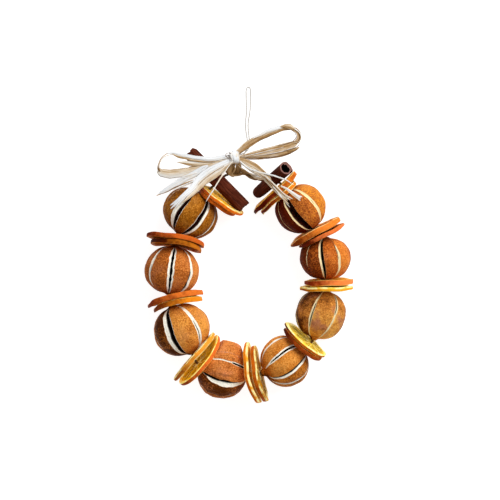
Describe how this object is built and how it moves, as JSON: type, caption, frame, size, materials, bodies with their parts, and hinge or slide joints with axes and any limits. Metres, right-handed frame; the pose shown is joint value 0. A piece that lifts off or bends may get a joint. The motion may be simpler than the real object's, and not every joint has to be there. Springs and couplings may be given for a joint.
{
  "type": "dried orange wreath",
  "caption": "Wreath of whole slit dried oranges and dried orange slices on a string, with cinnamon sticks, a raffia bow where it is tied, and a thin cord to hang it by.",
  "frame": {"origin": "middle of the underside of the wreath, on the surface that it lies on, the hanging loop left out", "axes": "+Y up the wreath towards the bow, +X to the right as seen from its face, +Z out of its face"},
  "size_m": [0.219, 0.334, 0.0607],
  "materials": {
    "rind": "dried orange rind, leathery and pored",
    "slice": "dried orange slice, amber flesh with a pale pith ring and an orange rind edge",
    "bark": "cinnamon bark, matt",
    "raffia": "natural raffia strips, fibrous",
    "string": "twisted natural fibre"
  },
  "bodies": {
    "root": {"orange_1": "rind", "orange_2": "rind", "orange_3": "rind", "orange_4": "rind", "orange_5": "rind", "orange_6": "rind", "orange_7": "rind", "orange_8": "rind", "slice_1a": "slice", "slice_1b": "slice", "slice_2a": "slice", "slice_2b": "slice", "slice_3a": "slice", "slice_3b": "slice", "slice_4a": "slice", "slice_4b": "slice", "slice_5a": "slice", "slice_5b": "slice", "slice_6a": "slice", "slice_6b": "slice", "slice_7a": "slice", "slice_7b": "slice", "slice_8a": "slice", "slice_8b": "slice", "slice_9a": "slice", "slice_9b": "slice", "cinnamon_left": "bark", "cinnamon_right": "bark", "raffia_twist": "raffia", "bow_loop_left": "raffia", "bow_loop_right": "raffia", "tail_left_long": "raffia", "tail_left_short": "raffia", "tail_right_long": "raffia", "tail_right_short": "raffia", "knot": "raffia", "string": "string", "hanging_loop": "string"}
  },
  "joints": []
}
